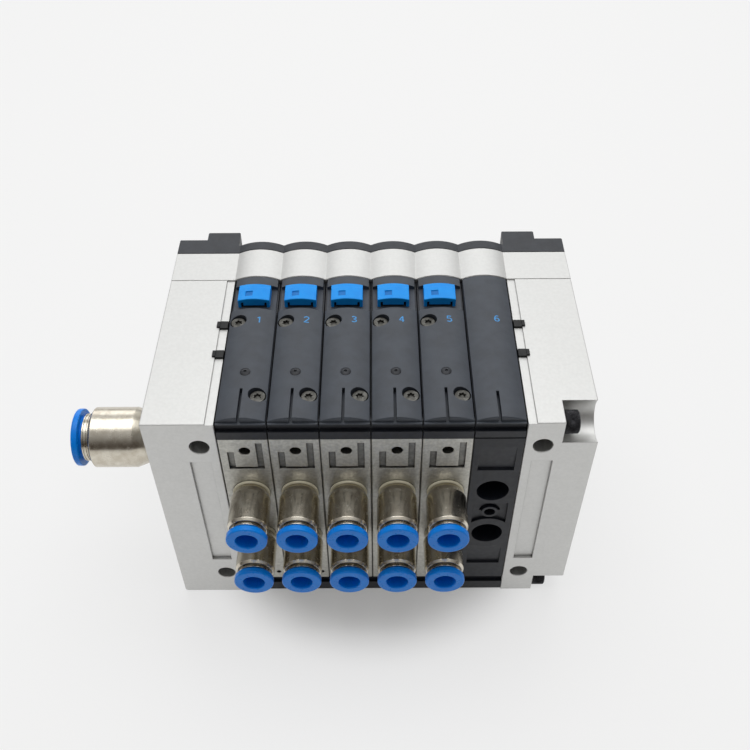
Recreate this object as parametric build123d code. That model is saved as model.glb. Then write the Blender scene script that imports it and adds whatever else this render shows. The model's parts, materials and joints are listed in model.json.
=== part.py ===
"""Pneumatic valve island: five valve slices and a blanking slice between two end plates.

Millimetres. While it is built, X runs along the row of slices with 0 in the middle of the row,
Y runs from the front faces of the end plates towards the back, and Z runs up from the surface
the island stands on. The finished pieces are then moved so that the origin lies in the middle
of the four mounting holes, on the plane of the rear feet.
"""
from build123d import *
import os

# Row of slices
VALVES = 5
SLICES = VALVES + 1
PITCH = 18.0
GASKET_T = 0.3

# End plates
PLATE_W = 25.45
PLATE_H = 107.8
PLATE_DEPTH = 75.8
PLATE_EDGE_R = 1.0
PLATE_BREAK = 0.2
LEDGE_W = 3.1
LEDGE_DROP = 0.5
LABEL_INSET = 3.2
LABEL_W = 7.7
LABEL_LOW_Z = 23.8
LABEL_TOP_DROP = 20.6
LABEL_DEPTH = 1.2

# Mounting holes, through the island from front to back
HOLE_R = 3.55
HOLE_INSET = 6.35
HOLE_LOW_Z = 13.9
HOLE_TOP_DROP = 12.3

# Heights of a slice, from the end plates' top downwards and from the pilot block upwards
BODY_DROP = 8.2
BLOCK_H = 6.6
BLOCK_LIP_H = 3.9
GROOVE_DEPTH = 1.4
COVER_SKIRT = 0.8
COVER_SIDE_H = 0.85
ARCH_RISE = 2.05
CAST_EDGE_R = 0.4
MOULD_EDGE_R = 0.25

# Top covers
COVER_SIDE_GAP = 0.2
COVER_FRONT = 0.3
COVER_BACK_GAP = 0.4
COVER_EDGE_R = 0.4
COVER_LEDGE = 0.8
COVER_LEDGE_T = 0.4
SPLIT_W = 1.0
SPLIT_LENGTH = 15.0
SPLIT_X = -0.6

# Well in a valve cover, and the clip that stands in it
WELL_LENGTH = 14.0
WELL_BACK_GAP = 4.4
WELL_FLOOR_T = 0.6
WELL_SIDE_CUT = 0.45
CLIP_W = 12.3
CLIP_X = -0.3
CLIP_BACK_GAP = 1.2
CLIP_LENGTH = 9.1
CLIP_HEIGHT = 3.6
CLIP_RISE = 0.9
CLIP_WALL = 1.2
CLIP_EDGE_R = 0.35
CLIP_SLOT_W = 0.9
CLIP_SLOT_TOP = 2.0
CLIP_TONGUE_LIFT = 1.1
CLIP_STEP_LENGTH = 2.2
CLIP_STEP_DROP = 0.35
CLIP_MARK = 2.8
CLIP_MARK_X = -1.9
CLIP_MARK_Y = 3.3
CLIP_MARK_DEPTH = 0.3

# Manual override button
BUTTON_R = 1.85
BUTTON_Y = 23.0
BUTTON_CLEAR = 0.05
BUTTON_RISE = 0.45
BUTTON_DOME = 0.55
BUTTON_FLANGE = 0.65
BUTTON_FLANGE_T = 0.9
BUTTON_FLANGE_GAP = 0.1
BUTTON_STEM_R = 1.3
BUTTON_STEM_H = 2.0
BUTTON_TRAVEL = 1.0
BUTTON_FLOOR_CLEAR = 0.4
BUTTON_POCKET_CLEAR = 0.3
DIMPLE_R = 0.55
DIMPLE_DEPTH = 0.5

# Cover screws
SCREW_SHANK_R = 1.5
SCREW_CLEAR = 0.05
SCREW_HEAD_R = 2.9
SCREW_HEAD_T = 1.3
SCREW_LENGTH = 5.0
SCREW_TIP_CLEAR = 0.5
SCREW_SOCKET_R = 1.35
SCREW_SOCKET_DEPTH = 0.9
COUNTERBORE_CLEAR = 0.3
FRONT_SCREW_Y = 12.6
FRONT_SCREW_INSET = 3.55
REAR_SCREW_GAP = 6.5
REAR_SCREW_INSET = 3.45

# Front of a valve body
PORT_X = 0.4
PORT_MID_RISE = 0.75
PORT_SPACING = 27.5
PORT_EXTRA = 2.0
GAUGE_HOLE_R = 2.0
GAUGE_HOLE_X = 0.2
GAUGE_HOLE_DROP = 6.4
GAUGE_HOLE_DEPTH = 9.0
VENT_HOLE_R = 0.95
VENT_HOLE_X = 6.2
VENT_HOLE_RISE = 4.2
VENT_HOLE_DEPTH = 4.0
CAST_DEPTH = 1.0
CAST_X0 = -6.1
CAST_X1 = 6.6
CAST_LEG_W = 2.4
CAST_FOOT_H = 1.3
CAST_LOW_DROP = 16.4
CAST_LEFT_DROP = 6.8
CAST_RIGHT_DROP = 2.0

# Front of the blanking slice
BLANK_FIELD_W = 13.2
BLANK_DEPTH = 1.0
BLANK_HIGH_DROP = 4.6
BLANK_HIGH_H = 13.3
BLANK_MID_DROP = 7.8
BLANK_LOW_RISE = 10.2
BLANK_LOW_H = 13.0
BLANK_COLLAR_R = 9.6
BLANK_PORT_R = 6.0
BLANK_PORT_DEPTH = 9.0
BLANK_BOSS_R = 3.2
BLANK_BOSS_HOLE_R = 2.1
BLANK_BOSS_RISE = 14.0
BLANK_BOSS_GAP = 0.8
BLANK_SEAM_H = 0.6
BLANK_SEAM_DEPTH = 0.5
BLANK_SPLIT_LENGTH = 13.2

# Base rail under the slices
RAIL_Z0 = 1.0
RAIL_LIP_H = 5.2
RAIL_H = 9.2

# Tie rods
ROD_R = 2.4
ROD_CLEAR = 0.2
ROD_THREAD_CLEAR = 0.05
ROD_HEAD_R = 4.25
ROD_HEAD_T = 5.6
ROD_SOCKET_R = 2.3
ROD_SOCKET_DEPTH = 2.5
ROD_FRONT_Y = 4.5
ROD_RAIL_RISE = 3.3
ROD_BLOCK_DROP = 2.95
ROD_BACK_INSET = 7.8
ROD_BACK_SHIFT = 9.5
ROD_THREAD_DEPTH = 12.0
ROD_END_GAP = 0.5
ROD_SEAT_DEPTH = 12.6
ROD_NOTCH_CLEAR = 3.25
ROD_SEAT_CLEAR = 0.65

# Latch tabs at the ends of the cover row
TAB_W = 3.7
TAB_REACH = 4.1
TAB_HEAD = 1.1
TAB_HEAD_W = 2.9
TAB_HEAD_RISE = 0.3
TAB_RISE = 0.3
TAB_DEPTH = 3.0
TAB_BACK_INSETS = (26.1, 41.7)

# Interface block and rear housing
INTERFACE_DEPTH = 16.8
REAR_VALLEY_RISE = 0.05
SHADOW_GAP = 0.4
SHADOW_INSET = 0.6
BACK_PLATE_T = 5.1
FOOT_INSET = 0.65
FOOT_W = 13.4
FOOT_DEPTH = 8.7
FOOT_EDGE_R = 0.6
SHOULDER_DEPTH = 3.9

# Multi-pin connector on the back, from its contacts outwards
PLUG_END_SPACE = 2.88
PLUG_ROW_SPACE = 2.73
PLUG_HOLE_GAP = 4.0
PLUG_HOLE_R = 1.55
PLUG_EAR = 3.0
PLUG_RIM = 2.1
PLUG_FLANGE_T = 1.0
PLUG_FLANGE_R = 1.2
PLUG_SLOPE = 1.5
PLUG_WALL = 0.5
PLUG_REACH = 5.8
PLUG_CORNER_R = 2.0
PLUG_INSERT_RECESS = 1.2
PIN_R = 0.5
PIN_TIP_R = 0.2
PIN_PITCH = 2.77
PIN_ROW_GAP = 2.84
PIN_DEPTH = 5.0
PINS_LONG_ROW = 13
HOUSING_SCREW_INSET_X = 8.15
HOUSING_SCREW_INSET_Z = 13.9
HOUSING_SCREW_R = 2.75
HOUSING_SCREW_T = 1.6
HOUSING_SCREW_DOME = 0.5
HOUSING_SCREW_SHANK_R = 1.5
HOUSING_SCREW_LENGTH = 12.0
POST_R = 2.7
POST_T = 5.0

# Push-in fittings. Lengths follow each other along the axis, and walls follow each other from the
# tube outwards.
SMALL = {
    "tube_r": 4.05, "shank_r": 5.95, "shank": 9.0, "flow_step": 1.05,
    "seal_t": 0.9, "seal_w": 0.95, "shoulder": 0.25, "taper": 2.5, "edge": 0.8, "edge_step": 0.35,
    "body": 12.3, "body_wall": 1.15, "nose": 1.1, "nose_step": 0.55, "neck": 1.1, "neck_wall": 0.9,
    "stop": 4.0, "guide": 2.8, "groove": 1.6, "groove_step": 1.15, "web": 1.2, "grip_t": 0.3,
    "grip_bend": 0.8, "grip_drop": 0.45, "sleeve_wall": 1.25, "snap": 0.4, "bead": 1.3,
    "sleeve_gap": 0.3, "travel": 1.0, "flange": 1.1, "flange_t": 2.3, "flange_edge_r": 0.6, "mouth": 0.3,
}
LARGE = {
    "tube_r": 6.05, "shank_r": 8.25, "shank": 11.0, "flow_step": 1.25,
    "seal_t": 1.0, "seal_w": 1.35, "shoulder": 0.45, "taper": 5.2, "edge": 1.5, "edge_step": 0.6,
    "body": 15.5, "body_wall": 2.4, "nose": 1.1, "nose_step": 1.6, "neck": 2.6, "neck_wall": 0.9,
    "stop": 6.0, "guide": 3.8, "groove": 2.2, "groove_step": 1.55, "web": 1.6, "grip_t": 0.4,
    "grip_bend": 1.1, "grip_drop": 0.6, "sleeve_wall": 1.85, "snap": 0.5, "bead": 1.6,
    "sleeve_gap": 0.5, "travel": 0.9, "flange": 1.85, "flange_t": 2.3, "flange_edge_r": 0.7, "mouth": 0.4,
}
THREAD_CLEAR = 0.05
SLEEVE_CLEAR = 0.1
RING_STOP_CLEAR = 0.1
RING_IN_GROOVE = 0.05
GRIP_TEETH = 12
GRIP_SLOT_W = 0.7
SEAL_LIP = 0.5
SUPPLY_Y = 17.0
SUPPLY_TOP_DROP = 26.5
SUPPLY_PORT_EXTRA = 1.5

# Values worked out from the sizes above
SLICE_W = PITCH - GASKET_T
COVER_W = SLICE_W - 2 * COVER_SIDE_GAP
STACK_X = (SLICES * PITCH + GASKET_T) / 2
OUTER_X = STACK_X + PLATE_W
HOLE_X = STACK_X + HOLE_INSET
HOLE_ZS = (HOLE_LOW_Z, PLATE_H - HOLE_TOP_DROP)
RAIL_LIP_Z = RAIL_Z0 + RAIL_LIP_H
BODY_Z0 = RAIL_Z0 + RAIL_H
BODY_Z1 = PLATE_H - BODY_DROP
LIP_TOP_Z = BODY_Z1 + BLOCK_LIP_H
BLOCK_Z1 = BODY_Z1 + BLOCK_H
COVER_LIP_Z = BLOCK_Z1 + COVER_SKIRT
COVER_SIDE_Z = COVER_LIP_Z + COVER_SIDE_H
COVER_TOP_Z = COVER_SIDE_Z + ARCH_RISE
COVER_BACK = PLATE_DEPTH - COVER_BACK_GAP
TAB_PLACES = [PLATE_DEPTH - inset for inset in TAB_BACK_INSETS]
WELL_BACK = COVER_BACK - WELL_BACK_GAP
WELL_FRONT = WELL_BACK - WELL_LENGTH
WELL_FLOOR_Z = BLOCK_Z1 + WELL_FLOOR_T
CLIP_BACK = WELL_BACK - CLIP_BACK_GAP
CLIP_FRONT = CLIP_BACK - CLIP_LENGTH
SCREW_PLACES = ((REAR_SCREW_INSET - COVER_W / 2, WELL_FRONT - REAR_SCREW_GAP),
                (COVER_W / 2 - FRONT_SCREW_INSET, FRONT_SCREW_Y))
PORT_MID_Z = (BODY_Z0 + BODY_Z1) / 2 + PORT_MID_RISE
PORT_ZS = (PORT_MID_Z - PORT_SPACING / 2, PORT_MID_Z + PORT_SPACING / 2)
ROD_FRONT_ZS = (RAIL_Z0 + ROD_RAIL_RISE, BLOCK_Z1 - ROD_BLOCK_DROP)
ROD_BACK_ZS = (HOLE_ZS[0] + ROD_BACK_SHIFT, HOLE_ZS[1] - ROD_BACK_SHIFT)
ROD_BACK_Y = PLATE_DEPTH - ROD_BACK_INSET
ROD_PLACES = [(ROD_FRONT_Y, z) for z in ROD_FRONT_ZS] + [(ROD_BACK_Y, z) for z in ROD_BACK_ZS]
ROD_SEAT_X = OUTER_X - ROD_SEAT_DEPTH
SUPPLY_Z = PLATE_H - SUPPLY_TOP_DROP
BLOCK_BACK = PLATE_DEPTH + INTERFACE_DEPTH
PLATE_BACK = BLOCK_BACK + BACK_PLATE_T
SHOULDER_BACK = PLATE_BACK + SHOULDER_DEPTH
FOOT_BACK = PLATE_BACK + FOOT_DEPTH
FOOT_X0 = STACK_X + FOOT_INSET
PLUG_Z = PLATE_H / 2
PLUG_TOP_W = (PINS_LONG_ROW - 1) * PIN_PITCH + 2 * PLUG_END_SPACE
PLUG_H = PIN_ROW_GAP + 2 * PLUG_ROW_SPACE
PLUG_HOLE_SPACING = PLUG_TOP_W + 2 * PLUG_HOLE_GAP
PLUG_FLANGE_W = PLUG_HOLE_SPACING + 2 * PLUG_EAR
PLUG_FLANGE_H = PLUG_H + 2 * PLUG_RIM
HOUSING_SCREW_X = STACK_X - HOUSING_SCREW_INSET_X
HOUSING_SCREW_ZS = (HOUSING_SCREW_INSET_Z, PLATE_H - HOUSING_SCREW_INSET_Z)
ORIGIN = (0, FOOT_BACK, (HOLE_ZS[0] + HOLE_ZS[1]) / 2)


def slice_x(index):
    """The middle of a slice, counted from 0 at the left."""
    return (index - (SLICES - 1) / 2) * PITCH


def block(x_span, y_span, z_span):
    """A box between two values on each axis."""
    corner = Pos(x_span[0], y_span[0], z_span[0])
    size = (x_span[1] - x_span[0], y_span[1] - y_span[0], z_span[1] - z_span[0])
    return corner * Box(*size, align=(Align.MIN, Align.MIN, Align.MIN))


def bar_x(y, z, radius, x_span):
    """A round bar along X."""
    middle = Pos((x_span[0] + x_span[1]) / 2, y, z)
    return middle * Rot(0, 90, 0) * Cylinder(radius, x_span[1] - x_span[0])


def bar_y(x, z, radius, y_span):
    """A round bar along Y."""
    middle = Pos(x, (y_span[0] + y_span[1]) / 2, z)
    return middle * Rot(90, 0, 0) * Cylinder(radius, y_span[1] - y_span[0])


def bar_z(x, y, radius, z_span):
    """A round bar along Z."""
    middle = Pos(x, y, (z_span[0] + z_span[1]) / 2)
    return middle * Cylinder(radius, z_span[1] - z_span[0])


def along_y(outline, y_span):
    """A closed outline in X and Z, drawn out along Y."""
    plane = Plane(origin=(0, y_span[1], 0), x_dir=(1, 0, 0), z_dir=(0, -1, 0))
    return extrude(plane * make_face(outline), y_span[1] - y_span[0])


def ramp(x_span, z_span, depth):
    """A wedge in a front face: nothing deep at its top edge, and of full depth at its foot."""
    low, high = z_span
    side = Plane(origin=(x_span[0], 0, 0), x_dir=(0, 1, 0), z_dir=(1, 0, 0))
    outline = Polyline((0, high), (0, low), (depth, low), close=True)
    return extrude(side * make_face(outline), x_span[1] - x_span[0])


def turned(points):
    """A solid of revolution about Z, from points of radius and height."""
    return revolve(Plane.XZ * make_face(Polyline(*points, close=True)), Axis.Z)


def edges_along(solid, axis, picked):
    """The edges along an axis that a test on their middle picks."""
    return [edge for edge in solid.edges().filter_by(axis) if picked(edge.center())]


def edges_at(solid, y):
    """The edges that lie in one plane across Y."""
    low = y - 0.001
    high = y + 0.001
    return [edge for edge in solid.edges() if all(low < vertex.Y < high for vertex in edge.vertices())]


def rod_cuts(solid, x_span):
    """Take the tie-rod holes out of a solid, where a rod crosses it."""
    box = solid.bounding_box()
    for y, z in ROD_PLACES:
        if box.min.Y < y < box.max.Y and box.min.Z < z < box.max.Z:
            solid -= bar_x(y, z, ROD_R + ROD_CLEAR, x_span)
    return solid


def arch_outline(x, half_width, z_low, z_side, z_top):
    """The section of an arched cover: flat below, one arc on top."""
    left = x - half_width
    right = x + half_width
    sides = Polyline((left, z_side), (left, z_low), (right, z_low), (right, z_side))
    return sides + ThreePointArc((right, z_side), (x, z_top), (left, z_side))


def rear_outline(inset):
    """The outline of the rear blocks seen from the front: flat ends, one arch over each slice."""
    end_x = OUTER_X - inset
    end_z = PLATE_H - inset
    valley_z = PLATE_H + REAR_VALLEY_RISE - inset
    row_x = SLICES * PITCH / 2
    lines = Polyline((-row_x, valley_z), (-row_x, end_z), (-end_x, end_z), (-end_x, inset),
                     (end_x, inset), (end_x, end_z), (row_x, end_z), (row_x, valley_z))
    for index in range(SLICES):
        x = slice_x(index)
        lines += ThreePointArc((x + PITCH / 2, valley_z), (x, valley_z + ARCH_RISE), (x - PITCH / 2, valley_z))
    return lines


def end_plate(side):
    """An aluminium end plate; side is -1 at the left and 1 at the right."""
    inner = side * STACK_X
    outer = side * OUTER_X
    plate = block(sorted((inner, outer)), (0, PLATE_DEPTH), (0, PLATE_H))
    foot = edges_along(plate, Axis.Y, lambda c: abs(c.X - outer) < PLATE_BREAK and c.Z < PLATE_BREAK)
    plate = fillet(foot, PLATE_EDGE_R)
    plate = chamfer(edges_at(plate, 0) + edges_at(plate, PLATE_DEPTH), PLATE_BREAK)
    top = edges_along(plate, Axis.Y, lambda c: abs(c.X - outer) < PLATE_BREAK and c.Z > PLATE_H - PLATE_BREAK)
    plate = chamfer(top, PLATE_BREAK)
    ledge = sorted((inner, inner + side * LEDGE_W))
    plate -= block(ledge, (0, PLATE_DEPTH), (PLATE_H - LEDGE_DROP, PLATE_H))
    label = sorted((inner + side * LABEL_INSET, inner + side * (LABEL_INSET + LABEL_W)))
    plate -= block(label, (0, LABEL_DEPTH), (LABEL_LOW_Z, PLATE_H - LABEL_TOP_DROP))
    for z in HOLE_ZS:
        hole = bar_y(side * HOLE_X, z, HOLE_R, (0, PLATE_DEPTH))
        plate -= hole + mouth_y(side * HOLE_X, z, HOLE_R, 0)
    for y in TAB_PLACES:
        plate -= tab(side, y)
    return plate


def mouth_y(x, z, radius, y):
    """The broken edge of a hole's mouth in a front face, as a cone that narrows inwards."""
    depth = PLATE_BREAK
    cone = Cone(radius, radius + depth, depth)
    return Pos(x, y + depth / 2, z) * Rot(90, 0, 0) * cone


def left_end_plate():
    """The left end plate, with the supply port and the rods' threads."""
    plate = end_plate(-1)
    depth = LARGE["shank"] + SUPPLY_PORT_EXTRA
    radius = LARGE["shank_r"] + THREAD_CLEAR
    plate -= bar_x(SUPPLY_Y, SUPPLY_Z, radius, (-OUTER_X, -OUTER_X + depth))
    for y, z in ROD_PLACES:
        thread = (-STACK_X - ROD_THREAD_DEPTH, -STACK_X)
        plate -= bar_x(y, z, ROD_R + ROD_THREAD_CLEAR, thread)
    return plate


def right_end_plate():
    """The right end plate, notched at its front corners and sunk at the back for the rods' heads."""
    plate = rod_cuts(end_plate(1), (STACK_X, OUTER_X))
    for z in ROD_FRONT_ZS:
        plate -= bar_x(ROD_FRONT_Y, z, ROD_HEAD_R + ROD_NOTCH_CLEAR, (ROD_SEAT_X, OUTER_X))
    for z in ROD_BACK_ZS:
        plate -= bar_x(ROD_BACK_Y, z, ROD_HEAD_R + ROD_SEAT_CLEAR, (ROD_SEAT_X, OUTER_X))
    return plate


def tab(side, y):
    """A latch tab: a bar over the plate's ledge with a narrower raised head."""
    inner = side * STACK_X
    neck = inner + side * (TAB_REACH - TAB_HEAD)
    end = inner + side * TAB_REACH
    low_z = PLATE_H - TAB_DEPTH
    top_z = PLATE_H + TAB_RISE
    body = block(sorted((inner, neck)), (y - TAB_W / 2, y + TAB_W / 2), (low_z, top_z))
    head = block(sorted((neck, end)), (y - TAB_HEAD_W / 2, y + TAB_HEAD_W / 2), (low_z, top_z + TAB_HEAD_RISE))
    return body + head


def slice_block(x, z_span, radius):
    """A slice's block of full depth, with its upright front edges rounded."""
    body = block((x - SLICE_W / 2, x + SLICE_W / 2), (0, PLATE_DEPTH), z_span)
    return fillet(edges_along(body, Axis.Z, lambda c: c.Y < radius), radius)


def valve_body(index):
    """A die-cast valve body with two ports, a gauge hole and a cast U-shaped field."""
    x = slice_x(index)
    body = slice_block(x, (BODY_Z0, BODY_Z1), CAST_EDGE_R)
    port_depth = SMALL["shank"] + PORT_EXTRA
    for z in PORT_ZS:
        body -= bar_y(x + PORT_X, z, SMALL["shank_r"] + THREAD_CLEAR, (0, port_depth))
    gauge_z = BODY_Z1 - GAUGE_HOLE_DROP
    gauge = bar_y(x + GAUGE_HOLE_X, gauge_z, GAUGE_HOLE_R, (0, GAUGE_HOLE_DEPTH))
    body -= gauge + mouth_y(x + GAUGE_HOLE_X, gauge_z, GAUGE_HOLE_R, 0)
    body -= bar_y(x + VENT_HOLE_X, BODY_Z0 + VENT_HOLE_RISE, VENT_HOLE_R, (0, VENT_HOLE_DEPTH))
    depth = (0, CAST_DEPTH)
    left = (x + CAST_X0, x + CAST_X0 + CAST_LEG_W)
    right = (x + CAST_X1 - CAST_LEG_W, x + CAST_X1)
    foot_z = BODY_Z1 - CAST_LOW_DROP
    field = block(left, depth, (foot_z, BODY_Z1 - CAST_LEFT_DROP))
    field += block(right, depth, (foot_z, BODY_Z1 - CAST_RIGHT_DROP))
    field += block((left[0], right[1]), depth, (foot_z, foot_z + CAST_FOOT_H))
    return rod_cuts(body - field, (x - SLICE_W / 2, x + SLICE_W / 2))


def blanking_body():
    """The moulded blanking slice, with blind ports and shallow fields round them."""
    x = slice_x(VALVES)
    sides = (x - SLICE_W / 2, x + SLICE_W / 2)
    body = slice_block(x, (BODY_Z0, LIP_TOP_Z), MOULD_EDGE_R)
    body += block(sides, (GROOVE_DEPTH, PLATE_DEPTH), (LIP_TOP_Z, BLOCK_Z1))
    body -= block(sides, (0, BLANK_SEAM_DEPTH), (BODY_Z1, BODY_Z1 + BLANK_SEAM_H))
    field = (x - BLANK_FIELD_W / 2, x + BLANK_FIELD_W / 2)
    depth = (0, BLANK_DEPTH)
    low_z, high_z = PORT_ZS
    high_top = BODY_Z1 - BLANK_HIGH_DROP
    body -= ramp(field, (high_top - BLANK_HIGH_H, high_top), BLANK_DEPTH)
    boss_z = low_z + BLANK_BOSS_RISE
    collar = bar_y(x, low_z, BLANK_COLLAR_R, depth)
    boss = bar_y(x, boss_z, BLANK_BOSS_R, depth)
    body -= block(field, depth, (low_z, high_z - BLANK_MID_DROP)) - collar - boss
    foot_z = BODY_Z0 + BLANK_LOW_RISE
    body -= ramp(field, (foot_z, foot_z + BLANK_LOW_H), BLANK_DEPTH) - collar
    crescent = bar_y(x, boss_z, BLANK_BOSS_R + BLANK_BOSS_GAP, (0, 2 * BLANK_DEPTH))
    crescent -= bar_y(x, boss_z, BLANK_BOSS_R, (0, 2 * BLANK_DEPTH))
    crescent -= block(sides, (0, 2 * BLANK_DEPTH), (low_z, boss_z))
    body -= crescent
    body -= bar_y(x, boss_z, BLANK_BOSS_HOLE_R, (0, BLANK_PORT_DEPTH))
    for z in PORT_ZS:
        body -= bar_y(x, z, BLANK_PORT_R, (0, BLANK_PORT_DEPTH))
    return rod_cuts(body, sides)


def pilot_block(index):
    """The black block between a valve body and its cover."""
    x = slice_x(index)
    sides = (x - SLICE_W / 2, x + SLICE_W / 2)
    body = slice_block(x, (BODY_Z1, LIP_TOP_Z), MOULD_EDGE_R)
    body += block(sides, (GROOVE_DEPTH, PLATE_DEPTH), (LIP_TOP_Z, BLOCK_Z1))
    body = rod_cuts(body, sides)
    stem_low = BLOCK_Z1 - BUTTON_FLANGE_GAP - BUTTON_FLANGE_T - BUTTON_STEM_H
    floor_z = stem_low - BUTTON_TRAVEL - BUTTON_FLOOR_CLEAR
    pocket_r = BUTTON_R + BUTTON_FLANGE + BUTTON_POCKET_CLEAR
    body -= bar_z(x, BUTTON_Y, pocket_r, (floor_z, BLOCK_Z1))
    for dx, y in SCREW_PLACES:
        thread = (COVER_LIP_Z - SCREW_LENGTH - SCREW_TIP_CLEAR, BLOCK_Z1)
        body -= bar_z(x + dx, y, SCREW_SHANK_R + SCREW_CLEAR, thread)
    return body


def plain_cover(index, split_length):
    """An arched cover that stands back on a thin ledge, with a narrow split at its front."""
    x = slice_x(index)
    half = COVER_W / 2
    sides = (x - half, x + half)
    face = COVER_FRONT + COVER_LEDGE
    ledge_z = COVER_LIP_Z + COVER_LEDGE_T
    outline = arch_outline(x, half, COVER_LIP_Z, COVER_SIDE_Z, COVER_TOP_Z)
    cover = along_y(outline, (face, COVER_BACK))
    rims = edges_along(cover, Axis.Y, lambda c: c.Z > COVER_LIP_Z + COVER_SIDE_H / 2)
    front = [edge for edge in edges_at(cover, face) if edge.center().Z > COVER_SIDE_Z]
    cover = fillet(rims + front, COVER_EDGE_R)
    cover += block(sides, (COVER_FRONT, COVER_BACK), (COVER_LIP_Z, ledge_z))
    cover += block(sides, (GROOVE_DEPTH, COVER_BACK), (BLOCK_Z1, COVER_LIP_Z))
    split = (x + SPLIT_X - SPLIT_W / 2, x + SPLIT_X + SPLIT_W / 2)
    return cover - block(split, (face, split_length), (ledge_z, COVER_TOP_Z))


def valve_cover(index):
    """A cover with the clip's well, a button hole and two counterbored screw holes."""
    x = slice_x(index)
    half = COVER_W / 2
    cover = plain_cover(index, SPLIT_LENGTH)
    cover -= block((x - half, x + half), (WELL_FRONT, WELL_BACK), (WELL_FLOOR_Z, COVER_TOP_Z))
    for edge in ((x - half, x - half + WELL_SIDE_CUT), (x + half - WELL_SIDE_CUT, x + half)):
        cover -= block(edge, (WELL_FRONT, COVER_BACK), (BLOCK_Z1, COVER_TOP_Z))
    cover -= bar_z(x, BUTTON_Y, BUTTON_R + BUTTON_CLEAR, (BLOCK_Z1, COVER_TOP_Z))
    for dx, y in SCREW_PLACES:
        cover -= bar_z(x + dx, y, SCREW_HEAD_R + COUNTERBORE_CLEAR, (COVER_LIP_Z, COVER_TOP_Z))
        cover -= bar_z(x + dx, y, SCREW_SHANK_R + SCREW_CLEAR, (BLOCK_Z1, COVER_LIP_Z))
    return cover


def override_clip(index):
    """The snapped-on clip: a soft-edged arched cap on two legs, with a short tongue between two slots."""
    x = slice_x(index) + CLIP_X
    half = CLIP_W / 2
    top = WELL_FLOOR_Z + CLIP_HEIGHT + CLIP_RISE
    step_y = CLIP_BACK - CLIP_STEP_LENGTH
    cap = along_y(arch_outline(x, half, WELL_FLOOR_Z, top - CLIP_RISE, top), (CLIP_FRONT, step_y))
    rims = edges_along(cap, Axis.Y, lambda c: c.Z > WELL_FLOOR_Z + CLIP_HEIGHT / 2)
    front = [edge for edge in edges_at(cap, CLIP_FRONT) if edge.center().Z > WELL_FLOOR_Z + CLIP_HEIGHT / 4]
    clip = fillet(rims + front, CLIP_EDGE_R)
    low = top - CLIP_STEP_DROP
    clip += along_y(arch_outline(x, half, WELL_FLOOR_Z, low - CLIP_RISE, low), (step_y, CLIP_BACK))
    inner = half - CLIP_WALL
    roof = low - CLIP_RISE - CLIP_WALL
    clip -= block((x - inner, x + inner), (CLIP_FRONT + CLIP_WALL, CLIP_BACK), (WELL_FLOOR_Z, roof))
    wall = (CLIP_FRONT, CLIP_FRONT + CLIP_WALL)
    clip -= block((x - inner, x + inner), wall, (WELL_FLOOR_Z, WELL_FLOOR_Z + CLIP_TONGUE_LIFT))
    slot = (WELL_FLOOR_Z, top - CLIP_SLOT_TOP)
    clip -= block((x - inner, x - inner + CLIP_SLOT_W), wall, slot)
    clip -= block((x + inner - CLIP_SLOT_W, x + inner), wall, slot)
    mark_x = (x + CLIP_MARK_X - CLIP_MARK / 2, x + CLIP_MARK_X + CLIP_MARK / 2)
    mark_y = (CLIP_FRONT + CLIP_MARK_Y - CLIP_MARK / 2, CLIP_FRONT + CLIP_MARK_Y + CLIP_MARK / 2)
    mark_floor = top - CLIP_MARK_DEPTH
    keep = along_y(arch_outline(x, half, roof - CLIP_WALL, mark_floor - CLIP_RISE, mark_floor),
                   (CLIP_FRONT, CLIP_BACK))
    return clip - (block(mark_x, mark_y, (roof, top)) - keep)


def override_button(index):
    """A domed button that is held under its cover by a flange."""
    flange_top = BLOCK_Z1 - BUTTON_FLANGE_GAP
    flange_low = flange_top - BUTTON_FLANGE_T
    flange_r = BUTTON_R + BUTTON_FLANGE
    stem_low = flange_low - BUTTON_STEM_H
    top = COVER_TOP_Z + BUTTON_RISE
    rim = top - BUTTON_DOME
    side = Polyline((0, stem_low), (BUTTON_STEM_R, stem_low), (BUTTON_STEM_R, flange_low),
                    (flange_r, flange_low), (flange_r, flange_top), (BUTTON_R, flange_top), (BUTTON_R, rim))
    dome_r = (BUTTON_R ** 2 + BUTTON_DOME ** 2) / (2 * BUTTON_DOME)
    dome = RadiusArc((BUTTON_R, rim), (0, top), -dome_r)
    axis = Line((0, top), (0, stem_low))
    button = revolve(Plane.XZ * make_face(side + dome + axis), Axis.Z)
    button -= bar_z(0, 0, DIMPLE_R, (top - DIMPLE_DEPTH, top))
    return Pos(slice_x(index), BUTTON_Y, 0) * button


def cover_screw(x, y):
    """A low-head screw with a six-sided socket."""
    top = COVER_LIP_Z + SCREW_HEAD_T
    screw = bar_z(0, 0, SCREW_HEAD_R, (COVER_LIP_Z, top))
    screw = chamfer(screw.edges().sort_by(Axis.Z)[-1], SCREW_HEAD_T / 5)
    screw += bar_z(0, 0, SCREW_SHANK_R, (COVER_LIP_Z - SCREW_LENGTH, COVER_LIP_Z))
    socket = extrude(RegularPolygon(SCREW_SOCKET_R, 6), SCREW_SOCKET_DEPTH)
    return Pos(x, y, 0) * (screw - Pos(0, 0, top - SCREW_SOCKET_DEPTH) * socket)


def base_rail():
    """The moulded rail that the slices stand on."""
    sides = (-STACK_X, STACK_X)
    rail = block(sides, (0, PLATE_DEPTH), (RAIL_Z0, RAIL_LIP_Z))
    rail += block(sides, (GROOVE_DEPTH, PLATE_DEPTH), (RAIL_LIP_Z, BODY_Z0))
    return rod_cuts(rail, sides)


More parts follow.
